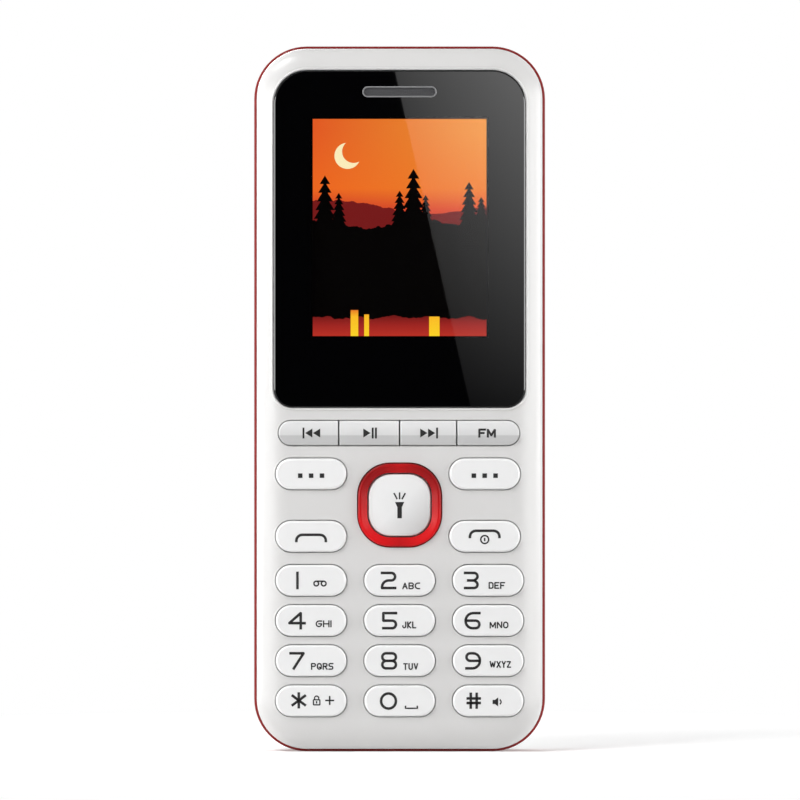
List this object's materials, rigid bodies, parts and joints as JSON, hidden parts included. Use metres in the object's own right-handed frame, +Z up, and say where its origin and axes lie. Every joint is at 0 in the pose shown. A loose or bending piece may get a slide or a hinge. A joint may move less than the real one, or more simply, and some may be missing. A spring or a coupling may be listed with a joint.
{
  "type": "feature phone",
  "caption": "Bar-shaped feature phone with a small colour display, a navigation ring, pill-shaped keys, a removable battery cover and a removable battery.",
  "frame": {"origin": "bottom centre of the bounding box, on the flat bottom end that the phone stands on", "axes": "+Z up along the phone's length, +Y from the screen side to the back, +X to the right as the screen is seen"},
  "size_m": [0.047, 0.0142, 0.1139],
  "materials": {
    "shell_white": "gloss",
    "key_white": "gloss",
    "frame_red": "satin",
    "ring_red": "gloss",
    "window_black": "gloss",
    "rear_shell": "fine matte",
    "screen": "gloss",
    "tray": "matte",
    "ribbon": "satin",
    "foam": "matte",
    "mesh_metal": "fine weave",
    "speaker_case": "satin",
    "board_green": "solder mask",
    "silicone": "matte",
    "steel": "satin",
    "lamp": "satin",
    "clear_lens": "gloss",
    "camera_glass": "gloss",
    "bezel_metal": "satin",
    "black_plastic": "satin",
    "battery_case": "satin label",
    "foil": "satin"
  },
  "bodies": {
    "chassis": {"antenna": "foil", "antenna_carrier": "black_plastic", "audio_jack": "black_plastic", "backlight_tray": "tray", "battery_connector": "black_plastic", "camera_bezel": "bezel_metal", "camera_module": "black_plastic", "camera_window": "camera_glass", "display_gasket": "foam", "display_panel": "screen", "display_ribbon": "ribbon", "display_window": "window_black", "earpiece_mesh": "mesh_metal", "earpiece_speaker": "speaker_case", "front_housing": "shell_white", "housing_screws": "steel", "key_domes": "steel", "keymat": "silicone", "keypad_leds": "lamp", "loudspeaker": "speaker_case", "main_board": "board_green", "memory_card_socket": "steel", "microphone": "black_plastic", "mid_frame": "frame_red", "processor": "black_plastic", "rear_housing": "rear_shell", "shield_can": "steel", "sim_sockets": "steel", "speaker_mesh": "mesh_metal", "torch_led": "lamp", "torch_lens": "clear_lens", "usb_socket": "steel", "vibration_motor": "steel", "window_tape": "foam"},
    "key_previous": {"key_previous": "key_white"},
    "key_play_pause": {"key_play_pause": "key_white"},
    "key_next": {"key_next": "key_white"},
    "key_radio": {"key_radio": "key_white"},
    "key_soft_left": {"key_soft_left": "key_white"},
    "key_soft_right": {"key_soft_right": "key_white"},
    "key_call": {"key_call": "key_white"},
    "key_end": {"key_end": "key_white"},
    "key_center": {"key_center": "key_white"},
    "key_1": {"key_1": "key_white"},
    "key_2": {"key_2": "key_white"},
    "key_3": {"key_3": "key_white"},
    "key_4": {"key_4": "key_white"},
    "key_5": {"key_5": "key_white"},
    "key_6": {"key_6": "key_white"},
    "key_7": {"key_7": "key_white"},
    "key_8": {"key_8": "key_white"},
    "key_9": {"key_9": "key_white"},
    "key_star": {"key_star": "key_white"},
    "key_0": {"key_0": "key_white"},
    "key_hash": {"key_hash": "key_white"},
    "nav_stiffener": {"nav_stiffener": "steel"},
    "nav_ring": {"nav_ring": "ring_red"},
    "battery_cover": {"battery_cover": "shell_white"},
    "battery": {"battery": "battery_case"},
    "vibration_weight": {"vibration_weight": "steel"}
  },
  "joints": [
    {"name": "key_previous_press", "type": "slide", "parent": "chassis", "child": "key_previous", "axis": [0, 1, 0], "range_m": [0, 0.00035], "stiffness_N_per_m": 2000, "deforming": ["keymat", "key_domes"]},
    {"name": "key_play_pause_press", "type": "slide", "parent": "chassis", "child": "key_play_pause", "axis": [0, 1, 0], "range_m": [0, 0.00035], "stiffness_N_per_m": 2000, "deforming": ["keymat", "key_domes"]},
    {"name": "key_next_press", "type": "slide", "parent": "chassis", "child": "key_next", "axis": [0, 1, 0], "range_m": [0, 0.00035], "stiffness_N_per_m": 2000, "deforming": ["keymat", "key_domes"]},
    {"name": "key_radio_press", "type": "slide", "parent": "chassis", "child": "key_radio", "axis": [0, 1, 0], "range_m": [0, 0.00035], "stiffness_N_per_m": 2000, "deforming": ["keymat", "key_domes"]},
    {"name": "key_soft_left_press", "type": "slide", "parent": "chassis", "child": "key_soft_left", "axis": [0, 1, 0], "range_m": [0, 0.00035], "stiffness_N_per_m": 2000, "deforming": ["keymat", "key_domes"]},
    {"name": "key_soft_right_press", "type": "slide", "parent": "chassis", "child": "key_soft_right", "axis": [0, 1, 0], "range_m": [0, 0.00035], "stiffness_N_per_m": 2000, "deforming": ["keymat", "key_domes"]},
    {"name": "key_call_press", "type": "slide", "parent": "chassis", "child": "key_call", "axis": [0, 1, 0], "range_m": [0, 0.00035], "stiffness_N_per_m": 2000, "deforming": ["keymat", "key_domes"]},
    {"name": "key_end_press", "type": "slide", "parent": "chassis", "child": "key_end", "axis": [0, 1, 0], "range_m": [0, 0.00035], "stiffness_N_per_m": 2000, "deforming": ["keymat", "key_domes"]},
    {"name": "key_center_press", "type": "slide", "parent": "chassis", "child": "key_center", "axis": [0, 1, 0], "range_m": [0, 0.00035], "stiffness_N_per_m": 2000, "deforming": ["keymat", "key_domes"]},
    {"name": "key_1_press", "type": "slide", "parent": "chassis", "child": "key_1", "axis": [0, 1, 0], "range_m": [0, 0.00035], "stiffness_N_per_m": 2000, "deforming": ["keymat", "key_domes"]},
    {"name": "key_2_press", "type": "slide", "parent": "chassis", "child": "key_2", "axis": [0, 1, 0], "range_m": [0, 0.00035], "stiffness_N_per_m": 2000, "deforming": ["keymat", "key_domes"]},
    {"name": "key_3_press", "type": "slide", "parent": "chassis", "child": "key_3", "axis": [0, 1, 0], "range_m": [0, 0.00035], "stiffness_N_per_m": 2000, "deforming": ["keymat", "key_domes"]},
    {"name": "key_4_press", "type": "slide", "parent": "chassis", "child": "key_4", "axis": [0, 1, 0], "range_m": [0, 0.00035], "stiffness_N_per_m": 2000, "deforming": ["keymat", "key_domes"]},
    {"name": "key_5_press", "type": "slide", "parent": "chassis", "child": "key_5", "axis": [0, 1, 0], "range_m": [0, 0.00035], "stiffness_N_per_m": 2000, "deforming": ["keymat", "key_domes"]},
    {"name": "key_6_press", "type": "slide", "parent": "chassis", "child": "key_6", "axis": [0, 1, 0], "range_m": [0, 0.00035], "stiffness_N_per_m": 2000, "deforming": ["keymat", "key_domes"]},
    {"name": "key_7_press", "type": "slide", "parent": "chassis", "child": "key_7", "axis": [0, 1, 0], "range_m": [0, 0.00035], "stiffness_N_per_m": 2000, "deforming": ["keymat", "key_domes"]},
    {"name": "key_8_press", "type": "slide", "parent": "chassis", "child": "key_8", "axis": [0, 1, 0], "range_m": [0, 0.00035], "stiffness_N_per_m": 2000, "deforming": ["keymat", "key_domes"]},
    {"name": "key_9_press", "type": "slide", "parent": "chassis", "child": "key_9", "axis": [0, 1, 0], "range_m": [0, 0.00035], "stiffness_N_per_m": 2000, "deforming": ["keymat", "key_domes"]},
    {"name": "key_star_press", "type": "slide", "parent": "chassis", "child": "key_star", "axis": [0, 1, 0], "range_m": [0, 0.00035], "stiffness_N_per_m": 2000, "deforming": ["keymat", "key_domes"]},
    {"name": "key_0_press", "type": "slide", "parent": "chassis", "child": "key_0", "axis": [0, 1, 0], "range_m": [0, 0.00035], "stiffness_N_per_m": 2000, "deforming": ["keymat", "key_domes"]},
    {"name": "key_hash_press", "type": "slide", "parent": "chassis", "child": "key_hash", "axis": [0, 1, 0], "range_m": [0, 0.00035], "stiffness_N_per_m": 2000, "deforming": ["keymat", "key_domes"]},
    {"name": "ring_up_down", "type": "hinge", "parent": "chassis", "child": "nav_stiffener", "pos_m": [0, -0.0041, 0.03984], "axis": [1, 0, 0], "range_deg": [-2, 2], "stiffness_Nm_per_rad": 0.1, "deforming": ["keymat", "key_domes"]},
    {"name": "ring_left_right", "type": "hinge", "parent": "nav_stiffener", "child": "nav_ring", "pos_m": [0, -0.0041, 0.03984], "axis": [0, 0, 1], "range_deg": [-2, 2], "stiffness_Nm_per_rad": 0.1, "deforming": ["keymat", "key_domes"]},
    {"name": "cover_lift", "type": "slide", "parent": "chassis", "child": "battery_cover", "axis": [0, 1, 0], "range_m": [0, 0.03]},
    {"name": "battery_lift", "type": "slide", "parent": "chassis", "child": "battery", "axis": [0, 1, 0], "range_m": [0, 0.015]},
    {"name": "weight_spin", "type": "hinge", "parent": "chassis", "child": "vibration_weight", "pos_m": [-0.0165, 0.00095, 0.0985], "axis": [1, 0, 0], "continuous": true}
  ],
  "couplings": [
    {"joint": "battery_lift", "follows": "cover_lift", "ratio": 0.5}
  ]
}
